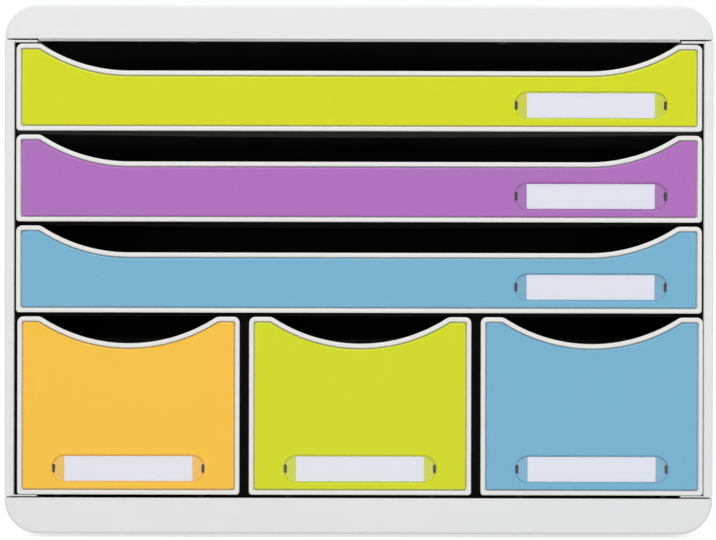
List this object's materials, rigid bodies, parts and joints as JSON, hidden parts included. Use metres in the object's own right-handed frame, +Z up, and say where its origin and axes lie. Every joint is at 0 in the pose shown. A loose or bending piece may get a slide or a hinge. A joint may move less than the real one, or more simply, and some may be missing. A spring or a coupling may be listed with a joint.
{
  "type": "desktop drawer unit",
  "caption": "Free-standing desktop drawer unit: shallow full-width drawers over a row of deep small ones, each with a finger notch, a coloured front and a label window.",
  "frame": {"origin": "on the ground under the middle of the casing: the centre of the bounding box's lower face", "axes": "+Z up, +X to the right along the front, -Y out of the front, the way the drawers pull out"},
  "size_m": [0.355, 0.27, 0.267],
  "materials": {
    "light_grey_plastic": "fine-grained satin",
    "black_plastic": "smooth, half gloss",
    "green_plastic": "smooth gloss",
    "purple_plastic": "smooth gloss",
    "blue_plastic": "smooth gloss",
    "orange_plastic": "smooth gloss",
    "clear_plastic": "clear, polished",
    "label_paper": "plain white card",
    "foot_rubber": "matt rubber"
  },
  "bodies": {
    "casing": {"top_cover": "light_grey_plastic", "base_cover": "light_grey_plastic", "left_side_panel": "light_grey_plastic", "right_side_panel": "light_grey_plastic", "back_panel": "black_plastic", "left_liner": "black_plastic", "right_liner": "black_plastic", "top_deck": "black_plastic", "floor_deck": "black_plastic", "upper_shelf": "black_plastic", "middle_shelf": "black_plastic", "lower_shelf": "black_plastic", "left_divider": "black_plastic", "right_divider": "black_plastic", "front_left_foot": "foot_rubber", "front_right_foot": "foot_rubber", "rear_left_foot": "foot_rubber", "rear_right_foot": "foot_rubber"},
    "wide_drawer_1": {"wide_1_tray": "light_grey_plastic", "wide_1_front": "light_grey_plastic", "wide_1_panel": "green_plastic", "wide_1_window": "clear_plastic", "wide_1_card": "label_paper"},
    "wide_drawer_2": {"wide_2_tray": "light_grey_plastic", "wide_2_front": "light_grey_plastic", "wide_2_panel": "purple_plastic", "wide_2_window": "clear_plastic", "wide_2_card": "label_paper"},
    "wide_drawer_3": {"wide_3_tray": "light_grey_plastic", "wide_3_front": "light_grey_plastic", "wide_3_panel": "blue_plastic", "wide_3_window": "clear_plastic", "wide_3_card": "label_paper"},
    "small_drawer_1": {"small_1_tray": "light_grey_plastic", "small_1_front": "light_grey_plastic", "small_1_panel": "orange_plastic", "small_1_window": "clear_plastic", "small_1_card": "label_paper"},
    "small_drawer_2": {"small_2_tray": "light_grey_plastic", "small_2_front": "light_grey_plastic", "small_2_panel": "green_plastic", "small_2_window": "clear_plastic", "small_2_card": "label_paper"},
    "small_drawer_3": {"small_3_tray": "light_grey_plastic", "small_3_front": "light_grey_plastic", "small_3_panel": "blue_plastic", "small_3_window": "clear_plastic", "small_3_card": "label_paper"}
  },
  "joints": [
    {"name": "wide_1_slide", "type": "slide", "parent": "casing", "child": "wide_drawer_1", "axis": [0, -1, 0], "range_m": [0, 0.2]},
    {"name": "wide_2_slide", "type": "slide", "parent": "casing", "child": "wide_drawer_2", "axis": [0, -1, 0], "range_m": [0, 0.2]},
    {"name": "wide_3_slide", "type": "slide", "parent": "casing", "child": "wide_drawer_3", "axis": [0, -1, 0], "range_m": [0, 0.2]},
    {"name": "small_1_slide", "type": "slide", "parent": "casing", "child": "small_drawer_1", "axis": [0, -1, 0], "range_m": [0, 0.2]},
    {"name": "small_2_slide", "type": "slide", "parent": "casing", "child": "small_drawer_2", "axis": [0, -1, 0], "range_m": [0, 0.2]},
    {"name": "small_3_slide", "type": "slide", "parent": "casing", "child": "small_drawer_3", "axis": [0, -1, 0], "range_m": [0, 0.2]}
  ]
}
